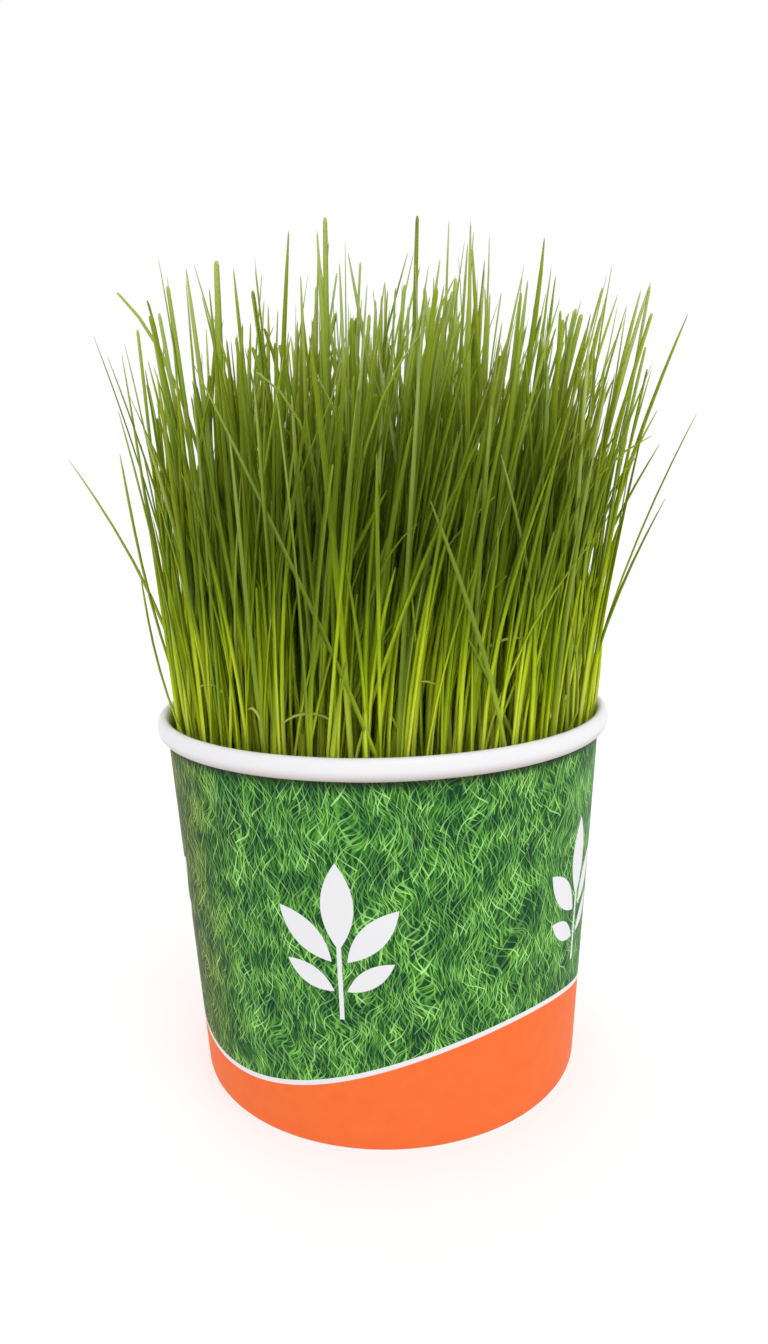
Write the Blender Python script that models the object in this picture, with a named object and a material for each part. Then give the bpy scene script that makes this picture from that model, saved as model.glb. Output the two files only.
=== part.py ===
"""Wheatgrass growing in a round paper tub.

The tub is two pieces of board: a printed side wall, folded in under the bottom and rolled outwards
into the rim, and a recessed bottom with a turned-down skirt. Soil fills it, and the sprouted grain
lies on the soil as a mat of seeds and roots that carries every blade.

Metres, +Z up. The origin is the middle of the foot, on the surface that the tub stands on.
"""

import math
import random
from itertools import pairwise

import bmesh
import bpy
import numpy as np
from mathutils import Vector

# Tub
TUB_HEIGHT = 0.0785
RIM_RADIUS = 0.0475
FOOT_RADIUS = 0.0410
UNDER_RIM_RADIUS = 0.0455
BOARD = 0.0006
BEAD_HEIGHT = 0.0042
BEAD_END_ANGLE = -108
BEAD_POINTS = 9
LAP_WIDTH = 0.012
LAP_STEP = 0.0004
LAP_SLOPE = 0.8
LAP_POINTS = 4
LAP_ENDS = (0.0005, 0.0008)
LAP_AZIMUTH = 97
BAND_HEIGHT = 0.0155
AROUND = 60

# Bottom, with its skirt between the wall and the wall's folded hem
BOTTOM_HEIGHT = 0.0068
SKIRT_BOARD = 0.0005
SKIRT_BEND = 0.0008
HEM_HEIGHT = 0.0056
GAP = 0.0003

# Filling
SOIL_TOP = 0.0645
SOIL_CHAMFER = 0.0012
MAT_TOP = 0.0684
MAT_CHAMFER = 0.0008
MAT_AROUND = 30

# Grass
BLADES = 548
ROOTS_TRIED = 860
ROOTS_RADIUS = 0.0418
ROOT_SCATTER = 0.0004
ROOT_DEPTH = 0.0016
BLADE_WIDTH = (0.0013, 0.0018)
BLADE_KEEL = 0.00075
BLADE_TWIST = 0.5
TIP_HEIGHT = 0.149
TIP_SPREAD = 0.0125
TIP_LIMITS = (0.106, 0.172)
GRASS_TOP = 0.1765
OUTER_DROP = 0.010
FLARE = 0.0066
FLARE_CURVE = 1.6
LEAN_RIGHT = 0.0062
SWAY = 0.0046
SWAY_WAVE = 0.052
SWAY_PHASES = (0.8, -0.5)
LEAN = 0.0042
REACH_LIMIT = 0.0600
CLEARANCE = 0.0001
TRIES = 24
LEVELS = 52
FAR_AWAY = 1.0

# Lone blades that stand out round the tuft, as azimuth, root radius, tip reach, tip azimuth and tip height
OUTLIERS = (
    (178, 0.0412, 0.0650, 176, 0.131),
    (171, 0.0405, 0.0612, 168, 0.157),
    (2, 0.0410, 0.0650, 4, 0.157),
    (-8, 0.0412, 0.0632, -10, 0.136),
    (14, 0.0400, 0.0600, 15, 0.150),
    (90, 0.0408, 0.0610, 91, 0.146),
    (-91, 0.0402, 0.0610, -90, 0.128),
    (52, 0.0405, 0.0600, 50, 0.158),
    (-140, 0.0408, 0.0560, -143, 0.146),
    (20, 0.0060, 0.0095, 10, 0.1763),
    (14, 0.0120, 0.0160, 10, 0.1758),
    (150, 0.0080, 0.0060, 150, 0.1725),
    (35, 0.0300, 0.0360, 25, 0.1700),
    (150, 0.0240, 0.0380, 166, 0.1700),
)
# Blades that fall across their neighbours, as azimuth, root radius, tip reach, tip azimuth, tip height
STRAYS = (
    (-87, 0.0408, 0.0464, -113, 0.112),
    (-104, 0.0400, 0.0440, -66, 0.122),
    (-49, 0.0412, 0.0448, -71, 0.098),
    (-128, 0.0402, 0.0470, -96, 0.141),
    (-36, 0.0404, 0.0490, -66, 0.128),
    (64, 0.0405, 0.0440, 104, 0.127),
    (122, 0.0402, 0.0450, 84, 0.138),
    (150, 0.0404, 0.0500, 118, 0.120),
    (-162, 0.0405, 0.0480, -128, 0.126),
)
BEND = 1.7
SPLAYED_REACH = 0.0565
RING_SHARES = {3: (0.0, 0.38, 0.78), 4: (0.0, 0.26, 0.55, 0.84)}
RING_WIDTHS = {3: (0.8, 1.0, 0.9), 4: (0.8, 0.95, 1.0, 0.84)}
SMOOTH_ANGLE = math.radians(40)


def clear_scene():
    for obj in list(bpy.data.objects):
        bpy.data.objects.remove(obj)


def finish(name, colour, roughness):
    material = bpy.data.materials.new(name)
    material.use_nodes = True
    shader = material.node_tree.nodes["Principled BSDF"]
    shader.inputs["Base Color"].default_value = (*colour, 1)
    shader.inputs["Roughness"].default_value = roughness
    material.diffuse_color = (*colour, 1)
    return material


def new_object(name, bm, *materials):
    mesh = bpy.data.meshes.new(name)
    bm.to_mesh(mesh)
    bm.free()
    for material in materials:
        mesh.materials.append(material)
    mesh.shade_smooth()
    mesh.set_sharp_from_angle(angle=SMOOTH_ANGLE)
    obj = bpy.data.objects.new(name, mesh)
    bpy.context.scene.collection.objects.link(obj)
    return obj


def union(obj, tools, solver):
    """Joins the objects of a collection to obj, applies the result and removes them."""
    modifier = obj.modifiers.new("join", "BOOLEAN")
    modifier.operation = "UNION"
    modifier.operand_type = "COLLECTION"
    modifier.collection = tools
    modifier.solver = solver
    graph = bpy.context.evaluated_depsgraph_get()
    joined = bpy.data.meshes.new_from_object(obj.evaluated_get(graph))
    joined.set_sharp_from_angle(angle=SMOOTH_ANGLE)
    obj.modifiers.remove(modifier)
    obj.data = joined
    for tool in list(tools.objects):
        bpy.data.objects.remove(tool)
    bpy.data.collections.remove(tools)


def wall_radius(z):
    """Outer radius of the side wall at height z."""
    slope = (UNDER_RIM_RADIUS - FOOT_RADIUS) / (TUB_HEIGHT - BEAD_HEIGHT)
    return FOOT_RADIUS + slope * z


def inside_radius(z):
    """Largest radius of what fills the tub at height z, a gap clear of the board."""
    return wall_radius(z) - BOARD - GAP


def arc(centre, radii, start, end, count):
    """Points along an elliptical arc, in degrees."""
    angles = [math.radians(start + (end - start) * k / (count - 1)) for k in range(count)]
    return [Vector((centre[0] + radii[0] * math.cos(a), 0, centre[1] + radii[1] * math.sin(a))) for a in angles]


def board_outline(run, thickness):
    """Closed outline of a board of this thickness whose middle follows run, with mitred corners."""
    left, right = [], []
    for k, point in enumerate(run):
        before = (point - run[k - 1]).normalized() if k else None
        after = (run[k + 1] - point).normalized() if k + 1 < len(run) else None
        before, after = before or after, after or before
        along = (before + after).normalized()
        normal = Vector((-along.z, 0, along.x)) * (thickness / 2 / along.dot(after))
        left.append(point + normal)
        right.append(point - normal)
    return left + right[::-1]


def turned(outline, closed=True, steps=AROUND):
    """Spins an outline in the XZ plane once about Z."""
    bm = bmesh.new()
    verts = [bm.verts.new(point) for point in outline]
    ends = pairwise(verts + verts[:1]) if closed else pairwise(verts)
    edges = [bm.edges.new(pair) for pair in ends]
    bmesh.ops.spin(
        bm, geom=verts + edges, cent=(0, 0, 0), axis=(0, 0, 1), angle=math.tau, steps=steps, use_merge=True
    )
    bmesh.ops.remove_doubles(bm, verts=bm.verts, dist=1e-6)
    bmesh.ops.recalc_face_normals(bm, faces=bm.faces)
    return bm


def lofted(sections):
    """A solid through a row of like sections, each a closed loop of points."""
    bm = bmesh.new()
    loops = []
    for section in sections:
        verts = [bm.verts.new(point) for point in section]
        loops.append([bm.edges.new(pair) for pair in pairwise(verts + verts[:1])])
    for near, far in pairwise(loops):
        bmesh.ops.bridge_loops(bm, edges=near + far)
    bmesh.ops.holes_fill(bm, edges=loops[0] + loops[-1], sides=0)
    bmesh.ops.recalc_face_normals(bm, faces=bm.faces)
    return bm


def make_wall(white, green, orange):
    """The side wall: hem, flat foot, slanted wall and rolled rim in one run of board, with a lapped seam."""
    half = BOARD / 2
    hem = FOOT_RADIUS - BOARD - GAP - SKIRT_BOARD - GAP - half
    bead = ((RIM_RADIUS + UNDER_RIM_RADIUS - BOARD) / 2, TUB_HEIGHT - BEAD_HEIGHT / 2)
    bead_radii = (RIM_RADIUS - bead[0] - half, BEAD_HEIGHT / 2 - half)
    run = [
        Vector((hem, 0, HEM_HEIGHT)),
        Vector((hem, 0, half)),
        Vector((FOOT_RADIUS - half, 0, half)),
        Vector((wall_radius(BAND_HEIGHT) - half, 0, BAND_HEIGHT)),
        Vector((UNDER_RIM_RADIUS - half, 0, TUB_HEIGHT - BEAD_HEIGHT)),
        *arc(bead, bead_radii, 180, BEAD_END_ANGLE, BEAD_POINTS),
    ]
    wall = new_object("cup_wall", turned(board_outline(run, BOARD)), white, green, orange)

    lap = bpy.data.collections.new("lap")
    seam_low, seam_high = LAP_ENDS[0], TUB_HEIGHT - BEAD_HEIGHT - LAP_ENDS[1]
    sections = []
    for k in range(LAP_POINTS + 1):
        turn = math.radians(LAP_AZIMUTH) + LAP_WIDTH / FOOT_RADIUS * (k / LAP_POINTS)
        around = Vector((math.cos(turn), math.sin(turn), 0))
        proud = LAP_STEP * (1 - LAP_SLOPE * k / LAP_POINTS)
        section = [(seam_low, -half), (seam_low, proud), (seam_high, proud), (seam_high, -half)]
        sections.append([around * (wall_radius(z) + out) + Vector((0, 0, z)) for z, out in section])
    strip = new_object("lap_strip", lofted(sections))
    bpy.context.scene.collection.objects.unlink(strip)
    lap.objects.link(strip)
    union(wall, lap, "EXACT")

    for face in wall.data.polygons:
        middle = face.center
        out = middle.x * face.normal.x + middle.y * face.normal.y
        printed = out > 0 and math.hypot(middle.x, middle.y) > wall_radius(middle.z) - half
        if printed and middle.z < TUB_HEIGHT - BEAD_HEIGHT - half:
            face.material_index = 1 if middle.z > BAND_HEIGHT else 2
    return wall


def make_bottom(white):
    """The recessed bottom: a disc of board whose edge is turned down into a skirt."""
    half = SKIRT_BOARD / 2
    skirt_foot = BOARD + GAP + half

    def skirt(z):
        return Vector((wall_radius(z) - BOARD - GAP - half, 0, z))

    shoulder = skirt(BOTTOM_HEIGHT - half - SKIRT_BEND)
    corner = arc((shoulder.x - SKIRT_BEND, shoulder.z), (SKIRT_BEND, SKIRT_BEND), 90, 0, 3)
    run = [Vector((0, 0, BOTTOM_HEIGHT - half)), *corner, skirt(skirt_foot)]
    return new_object("cup_bottom", turned(board_outline(run, SKIRT_BOARD), closed=False), white)


def make_soil(brown):
    """The soil: a plug that fills the tub from its bottom to the root mat."""
    low = BOTTOM_HEIGHT + GAP
    outline = [
        Vector((0, 0, low)),
        Vector((inside_radius(low) - SOIL_CHAMFER, 0, low)),
        Vector((inside_radius(low + SOIL_CHAMFER), 0, low + SOIL_CHAMFER)),
        Vector((inside_radius(SOIL_TOP), 0, SOIL_TOP)),
        Vector((0, 0, SOIL_TOP)),
    ]
    return new_object("soil", turned(outline, closed=False), brown)


def make_mat(green):
    """The mat of sprouted seeds and roots, which the blades are joined to."""
    low = SOIL_TOP + GAP
    edge = inside_radius(low)
    outline = [
        Vector((0, 0, low)),
        Vector((edge, 0, low)),
        Vector((edge, 0, MAT_TOP - MAT_CHAMFER)),
        Vector((edge - MAT_CHAMFER, 0, MAT_TOP)),
    ]
    bm = turned(outline, closed=False, steps=MAT_AROUND)
    bmesh.ops.holes_fill(bm, edges=bm.edges, sides=0)
    bmesh.ops.recalc_face_normals(bm, faces=bm.faces)
    return new_object("grass", bm, green)


class Blade:
    """One blade, as rings of its three-cornered section, all level, and the point of its tip."""

    def __init__(self, root, tip, width, facing, twist):
        spans = 4 if tip.xy.length > SPLAYED_REACH else 3
        self.rings = []
        for k, share in enumerate(RING_SHARES[spans]):
            middle = root.lerp(tip, share)
            shift = (tip - root) * (share**BEND - share)
            middle += Vector((shift.x, shift.y, 0 if k else -ROOT_DEPTH))
            scale = RING_WIDTHS[spans][k]
            turn = facing + twist * max(share - RING_SHARES[spans][1], 0)
            self.rings.append(self.section(middle, width * scale, BLADE_KEEL * scale, turn))
        self.tip = tip

    @staticmethod
    def section(middle, width, keel, facing):
        """A keeled section: its two edges, and the keel behind them."""
        across = Vector((math.cos(facing), math.sin(facing), 0)) * (width / 2)
        back = Vector((-math.sin(facing), math.cos(facing), 0)) * keel
        return [middle - across, middle + across, middle + back]

    def at(self, z):
        """The section at height z, or None above the tip."""
        rings = [*self.rings, [self.tip] * 3]
        if z <= rings[0][0].z:
            return rings[0]
        for low, high in pairwise(rings):
            if z <= high[0].z:
                share = (z - low[0].z) / (high[0].z - low[0].z)
                return [a.lerp(b, share) for a, b in zip(low, high)]
        return None

    def levels(self):
        step = (GRASS_TOP - MAT_TOP) / (LEVELS - 1)
        return [self.at(MAT_TOP + step * k) for k in range(LEVELS)]


def apart(first, second, distance):
    """Whether two level three-cornered sections stay this far apart, by the axes of their sides."""
    for shape in (first, second):
        for a, b in pairwise([*shape, shape[0]]):
            side = b - a
            if side.length < 1e-7:
                continue
            normal = Vector((-side.y, side.x, 0)).normalized()
            mine = [normal.dot(p) for p in first]
            other = [normal.dot(p) for p in second]
            if min(other) - max(mine) > distance or min(mine) - max(other) > distance:
                return True
    return False


def clear_of_rim(sections):
    """Whether a blade passes inside the rim on its way up."""
    step = (GRASS_TOP - MAT_TOP) / (LEVELS - 1)
    for k, section in enumerate(sections):
        z = MAT_TOP + step * k
        if section is None or z > TUB_HEIGHT + step:
            return True
        limit = inside_radius(min(z, TUB_HEIGHT - BEAD_HEIGHT))
        if max(math.hypot(p.x, p.y) for p in section) > limit:
            return False
    return True


def places(sections):
    """One edge of a blade at each level, far away where the blade doesn't reach."""
    return [(s[0].x, s[0].y) if s else (FAR_AWAY, len(sections)) for s in sections]


def clear_of_all(sections, placed, placed_at):
    """Whether a blade touches none of those placed before it: only near ones are measured."""
    here = np.array(places(sections))
    if not placed:
        return True
    distance = np.linalg.norm(np.array(placed_at) - here, axis=2)
    for blade, level in np.argwhere(distance < 2 * BLADE_WIDTH[1]):
        if not apart(sections[level], placed[blade][level], CLEARANCE):
            return False
    return True


def from_polar(azimuth, radius, z):
    turn = math.radians(azimuth)
    return Vector((radius * math.cos(turn), radius * math.sin(turn), z))


def drawn_tip(root, draw):
    """A tip for a blade with this root: flared outwards, leaning right, swayed with its neighbours, and its own."""
    out = root.xy.length / ROOTS_RADIUS
    away = root.xy.normalized() * FLARE * out**FLARE_CURVE
    turn = math.tau / SWAY_WAVE
    sway = Vector((math.sin(root.y * turn + SWAY_PHASES[0]), math.cos(root.x * turn + SWAY_PHASES[1]))) * SWAY
    own = Vector((LEAN_RIGHT + draw.gauss(0, LEAN), draw.gauss(0, LEAN)))
    place = root.xy + away + sway + own
    if place.length > REACH_LIMIT:
        place *= REACH_LIMIT / place.length
    drop = OUTER_DROP * out**2
    height = draw.gauss(TIP_HEIGHT - drop, TIP_SPREAD)
    return Vector((*place, min(max(height, TIP_LIMITS[0]), TIP_LIMITS[1] - drop)))


def grown_blades():
    """Every blade, placed on a sunflower spiral from the middle out and kept clear of the ones before it."""
    draw = random.Random(4)
    blades, placed, placed_at = [], [], []

    def try_blade(root, tip):
        width = draw.uniform(*BLADE_WIDTH)
        facing = draw.uniform(0, math.tau)
        blade = Blade(root, tip, width, facing, draw.uniform(-BLADE_TWIST, BLADE_TWIST))
        sections = blade.levels()
        if not clear_of_rim(sections) or not clear_of_all(sections, placed, placed_at):
            return False
        blades.append(blade)
        placed.append(sections)
        placed_at.append([(x, -y) if x == FAR_AWAY else (x, y) for x, y in places(sections)])
        return True

    for azimuth, radius, reach, tip_azimuth, height in OUTLIERS + STRAYS:
        root = from_polar(azimuth, radius, MAT_TOP)
        tip = from_polar(tip_azimuth, reach, height)
        any(try_blade(root, tip) for _ in range(TRIES))

    order = list(range(ROOTS_TRIED))
    draw.shuffle(order)
    golden = math.pi * (3 - math.sqrt(5))
    for k in order:
        if len(blades) == BLADES:
            break
        radius = ROOTS_RADIUS * math.sqrt((k + 0.5) / ROOTS_TRIED)
        spot = from_polar(math.degrees(k * golden), radius, MAT_TOP)
        for _ in range(TRIES):
            root = spot + Vector((draw.gauss(0, ROOT_SCATTER), draw.gauss(0, ROOT_SCATTER), 0))
            if try_blade(root, drawn_tip(root, draw)):
                break
    return blades


def blade_object(blade):
    bm = lofted(blade.rings)
    top = sorted(bm.verts, key=lambda vert: vert.co.z)[-3:]
    end = next(face for face in bm.faces if all(vert in top for vert in face.verts))
    tip_verts = bmesh.ops.poke(bm, faces=[end])["verts"]
    tip_verts[0].co = blade.tip
    return new_object("blade", bm)


def make_grass(green):
    """The grass: the root mat with every blade joined to it."""
    grass = make_mat(green)
    tuft = bpy.data.collections.new("blades")
    for blade in grown_blades():
        obj = blade_object(blade)
        bpy.context.scene.collection.objects.unlink(obj)
        tuft.objects.link(obj)
    union(grass, tuft, "MANIFOLD")
    return grass


def main():
    clear_scene()
    white = finish("white_board", (0.86, 0.86, 0.88), 0.45)
    green = finish("green_print", (0.045, 0.20, 0.035), 0.4)
    orange = finish("orange_print", (1.0, 0.145, 0.022), 0.4)
    brown = finish("moist_soil", (0.035, 0.021, 0.013), 0.95)
    leaf = finish("grass_green", (0.19, 0.29, 0.02), 0.5)
    make_wall(white, green, orange)
    make_bottom(white)
    make_soil(brown)
    make_grass(leaf)


main()
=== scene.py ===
"""Looks of the tub of wheatgrass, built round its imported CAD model.

The sections follow the object as it is put together: the camera and the studio, the printed paper
tub, its bottom, the soil, the root mat, the grains on it, the blades, and the shreds among them.
Metres, +Z up, the tub's axis on the Z axis and its foot at height 0.
"""

import math
import random

import bmesh
import bpy
import numpy as np
from mathutils import Matrix, Vector, noise


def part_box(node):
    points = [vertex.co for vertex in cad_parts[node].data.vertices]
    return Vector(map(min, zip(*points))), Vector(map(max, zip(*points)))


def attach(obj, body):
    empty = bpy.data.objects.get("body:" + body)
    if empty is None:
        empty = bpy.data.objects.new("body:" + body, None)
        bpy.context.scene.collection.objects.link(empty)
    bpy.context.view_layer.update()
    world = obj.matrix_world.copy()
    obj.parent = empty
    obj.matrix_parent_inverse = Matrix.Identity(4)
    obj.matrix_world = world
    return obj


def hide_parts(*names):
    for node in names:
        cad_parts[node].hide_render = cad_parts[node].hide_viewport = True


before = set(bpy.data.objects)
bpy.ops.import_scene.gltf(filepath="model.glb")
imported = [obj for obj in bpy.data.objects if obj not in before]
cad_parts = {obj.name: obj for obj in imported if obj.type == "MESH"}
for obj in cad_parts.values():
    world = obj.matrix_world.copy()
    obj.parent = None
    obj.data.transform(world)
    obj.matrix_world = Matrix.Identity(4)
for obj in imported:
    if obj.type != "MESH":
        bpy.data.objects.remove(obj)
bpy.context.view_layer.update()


# The camera stands close in front of the tub and a little above its rim, looking down 10.6 degrees.
# Its place, turn and lens were fitted to the outlines of the rim and of the foot in the photograph.
# The focal length is in the photograph's pixels.
SENSOR = 36
PHOTO_HEIGHT = 1344
FOCAL_LENGTH = 950
CAMERA_PLACE = (-0.0002, -0.2006, 0.1222)
LOOK_DOWN = math.radians(10.63)
PAN = 0.0034
ROLL = -0.0249

camera = bpy.data.objects.new("camera", bpy.data.cameras.new("camera"))
bpy.context.scene.collection.objects.link(camera)
bpy.context.scene.camera = camera
camera.data.lens = SENSOR * FOCAL_LENGTH / PHOTO_HEIGHT
camera.data.clip_start = 0.01
camera.matrix_world = (
    Matrix.Translation(CAMERA_PLACE)
    @ Matrix.Rotation(-PAN, 4, "Z")
    @ Matrix.Rotation(math.pi / 2 - LOOK_DOWN, 4, "X")
    @ Matrix.Rotation(ROLL, 4, "Z")
)


# The studio: a white room of even light with a broad softbox in front, up on the right, and a
# weaker one behind. The floor is a plain pale sheet that runs far past the view.
LAMP_AIM = (0, 0, 0.1)
FLOOR_RADIUS = 6.0


class Socket:
    """An output of a shader node. Arithmetic on it adds the Math nodes that work it out."""

    def __init__(self, finish, node, output=0):
        self.finish = finish
        self.node = node
        self.output = node.outputs[output]

    def __getitem__(self, output):
        return Socket(self.finish, self.node, output)

    def math(self, operation, *values, clamp=False):
        settings = {"operation": operation, "use_clamp": clamp}
        return self.finish.node("ShaderNodeMath", settings, dict(enumerate(values)))

    def __add__(self, other):
        return self.math("ADD", self, other)

    def __radd__(self, other):
        return self.math("ADD", other, self)

    def __sub__(self, other):
        return self.math("SUBTRACT", self, other)

    def __rsub__(self, other):
        return self.math("SUBTRACT", other, self)

    def __mul__(self, other):
        return self.math("MULTIPLY", self, other)

    def __rmul__(self, other):
        return self.math("MULTIPLY", other, self)

    def __truediv__(self, other):
        return self.math("DIVIDE", self, other)

    def __abs__(self):
        return self.math("ABSOLUTE", self)

    def clamped(self):
        return self.math("ADD", self, 0, clamp=True)

    def sine(self):
        return self.math("SINE", self)

    def least(self, other):
        return self.math("MINIMUM", self, other)

    def most(self, other):
        return self.math("MAXIMUM", self, other)

    def rising(self, low, high):
        """0 below low, 1 above high and a smooth step between them."""
        settings = {"interpolation_type": "SMOOTHSTEP"}
        return self.finish.node("ShaderNodeMapRange", settings, {0: self, 1: low, 2: high})


class Finish:
    """A material round one Principled BSDF, with the values that are the same all over it."""

    def __init__(self, name, **fixed):
        self.material = bpy.data.materials.new(name)
        self.material.use_nodes = True
        self.tree = self.material.node_tree
        self.shader = self.tree.nodes["Principled BSDF"]
        for word, value in fixed.items():
            label = word.replace("_", " ").title().replace("Ior", "IOR")
            self.shader.inputs[label].default_value = value

    def node(self, kind, settings, sockets):
        """Adds a node, sets its settings, then gives its sockets their values or links."""
        node = self.tree.nodes.new(kind)
        for name, value in settings.items():
            if name == "stops":
                ramp = node.color_ramp
                while len(ramp.elements) < len(value):
                    ramp.elements.new(1)
                for element, (position, colour) in zip(ramp.elements, value):
                    element.position = position
                    element.color = (*colour, 1)
            else:
                setattr(node, name, value)
        for name, value in sockets.items():
            self.give(node.inputs[name], value)
        return Socket(self, node)

    def give(self, socket, value):
        if isinstance(value, Socket):
            self.tree.links.new(value.output, socket)
        elif socket.type == "RGBA":
            socket.default_value = (*value, 1)
        else:
            socket.default_value = value

    def set(self, **sockets):
        for word, value in sockets.items():
            self.give(self.shader.inputs[word.replace("_", " ")], value)

    def mix(self, share, first, second, blend="MIX"):
        """Colour first where share is 0 and second where it is 1."""
        settings = {"data_type": "RGBA", "blend_type": blend}
        return self.node("ShaderNodeMix", settings, {0: share, 6: first, 7: second})[2]

    def noise(self, place, scale, detail=2.0, rough=0.5, warp=0.0):
        sockets = {
            "Vector": place,
            "Scale": scale,
            "Detail": detail,
            "Roughness": rough,
            "Distortion": warp,
        }
        return self.node("ShaderNodeTexNoise", {}, sockets)

    def place(self):
        """The point on the object, in metres."""
        return self.node("ShaderNodeTexCoord", {}, {})["Object"]

    def flat(self):
        """The point on the piece's own UV map."""
        return self.node("ShaderNodeUVMap", {"uv_map": "flat"}, {})

    def split(self, place):
        """The place, for its X, Y and Z to be read one by one."""
        return self.node("ShaderNodeSeparateXYZ", {}, {0: place})

    def stretched(self, place, factors, shift=(0, 0, 0)):
        sockets = {0: place, 1: factors, 2: shift}
        return self.node("ShaderNodeVectorMath", {"operation": "MULTIPLY_ADD"}, sockets)

    def bump(self, height, depth):
        """Relief of this depth in metres."""
        sockets = {"Strength": 1.0, "Distance": depth, "Height": height}
        self.set(Normal=self.node("ShaderNodeBump", {}, sockets))


def made(name, bm, *materials):
    """A finished piece from a bmesh, shaded smooth."""
    mesh = bpy.data.meshes.new(name)
    bm.to_mesh(mesh)
    bm.free()
    for material in materials:
        mesh.materials.append(material)
    mesh.shade_smooth()
    piece = bpy.data.objects.new(name, mesh)
    bpy.context.scene.collection.objects.link(piece)
    return piece


def softbox(name, place, size, power):
    lamp = bpy.data.objects.new(name, bpy.data.lights.new(name, "AREA"))
    lamp.data.size = size
    lamp.data.energy = power
    lamp.location = place
    lamp.rotation_euler = (Vector(LAMP_AIM) - Vector(place)).to_track_quat("-Z", "Y").to_euler()
    bpy.context.scene.collection.objects.link(lamp)


world = bpy.data.worlds.new("white_room")
world.use_nodes = True
white = world.node_tree.nodes["Background"]
white.inputs["Color"].default_value = (1, 1, 1, 1)
white.inputs["Strength"].default_value = 1.0
bpy.context.scene.world = world
bpy.context.scene.view_settings.view_transform = "Standard"

softbox("softbox_front", (0.21, -0.39, 0.71), 0.36, 1.6)
softbox("softbox_back", (-0.20, 0.48, 0.60), 0.4, 0.40)

pale_floor = Finish("pale_floor", roughness=0.7, emission_strength=1.0)
grain = pale_floor.noise(pale_floor.place(), 40.0, detail=3.0)
pale_floor.set(Base_Color=pale_floor.mix(grain, (0.46, 0.46, 0.46), (0.50, 0.50, 0.50)))
pale_floor.set(Emission_Color=pale_floor.mix(grain, (0.52, 0.52, 0.52), (0.50, 0.50, 0.50)))
floor = bmesh.new()
bmesh.ops.create_circle(floor, cap_ends=True, radius=FLOOR_RADIUS, segments=64)
floor = made("floor", floor, pale_floor.material)


# The tub's side wall: one blank of coated paper board, 0.6 mm thick, printed on its outer face.
# It is wound once round, lapped and glued at the back, folded in under the foot and up as a hem
# inside, and its top edge is rolled outwards into the white rim.
BOARD = 0.0006
TUB_HEIGHT = 0.0785
RIM_RADIUS = 0.0475
FOOT_RADIUS = 0.0410
UNDER_RIM_RADIUS = 0.0455
BEAD_HEIGHT = 0.0042
BEAD_END = math.radians(-128)
UNDER_BEAD = TUB_HEIGHT - BEAD_HEIGHT
HEM_RADIUS = 0.0390
HEM_HEIGHT = 0.0056
HEM_MIDDLE = 0.0036
FOLD = 0.0007
WALL_START = 0.0002
LAP_START = math.radians(97)
LAP_WIDTH = 0.012
LAP_RAMP = 0.0020
LAP_IN_RIM = 0.4
RIPPLE_OUT = 0.00012
RIPPLE_UP = 0.00008
RIPPLE_SCALE = 5
AROUND = 200
WALL_ROWS = 22
BEAD_ROWS = 20
FOLD_ROWS = 5


def wall_radius(z):
    """Outer radius of the side wall at height z."""
    return FOOT_RADIUS + (UNDER_RIM_RADIUS - FOOT_RADIUS) * z / UNDER_BEAD


def arc(centre, radii, start, end, count):
    """Points (radius, height) along an elliptical arc."""
    turns = np.linspace(start, end, count)
    return [(centre[0] + radii[0] * math.cos(a), centre[1] + radii[1] * math.sin(a)) for a in turns]


def wall_run():
    """The middle of the board from the hem's edge round the foot, up the wall and over the rim."""
    half = BOARD / 2
    outer = FOOT_RADIUS - half
    bead_middle = (RIM_RADIUS + UNDER_RIM_RADIUS - BOARD) / 2
    bead = (bead_middle, TUB_HEIGHT - BEAD_HEIGHT / 2)
    bead_radii = (RIM_RADIUS - bead_middle - half, BEAD_HEIGHT / 2 - half)
    heights = np.linspace(FOLD + half + WALL_START, UNDER_BEAD, WALL_ROWS)
    fold_in = (HEM_RADIUS + FOLD, half + FOLD)
    fold_out = (outer - FOLD, half + FOLD)
    return [
        (HEM_RADIUS, HEM_HEIGHT),
        (HEM_RADIUS, HEM_MIDDLE),
        *arc(fold_in, (FOLD, FOLD), math.pi, 1.5 * math.pi, FOLD_ROWS),
        *arc(fold_out, (FOLD, FOLD), -0.5 * math.pi, 0, FOLD_ROWS),
        *[(wall_radius(z) - half, z) for z in heights],
        *arc(bead, bead_radii, math.pi, BEAD_END, BEAD_ROWS),
    ]


def rolled_blank(run):
    """A flat grid rolled round the axis past a full turn, so that its ends lap.

    It has one row for each point of the run. The rim's rows ripple a little.
    """
    rows = len(run) - 1
    span = math.tau + LAP_WIDTH / FOOT_RADIUS
    bm = bmesh.new()
    bmesh.ops.create_grid(bm, x_segments=AROUND, y_segments=rows, size=0.5)
    flat = bm.loops.layers.uv.new("flat")
    for vert in bm.verts:
        share, row = vert.co.x + 0.5, round((vert.co.y + 0.5) * rows)
        radius, height = run[row]
        past = span * share - math.tau
        lift = min(max(past * FOOT_RADIUS / LAP_RAMP + 1, 0), 1) * BOARD
        if row > len(run) - BEAD_ROWS:
            lift *= LAP_IN_RIM
            spot = Vector((math.cos(span * share), math.sin(span * share), row * 0.03))
            ripple = noise.noise(spot * RIPPLE_SCALE)
            radius += ripple * RIPPLE_OUT
            height += ripple * RIPPLE_UP
        turn = LAP_START + span * share
        for loop in vert.link_loops:
            loop[flat].uv = (share, height / TUB_HEIGHT)
        vert.co = ((radius + lift) * math.cos(turn), (radius + lift) * math.sin(turn), height)
    return bm


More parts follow.
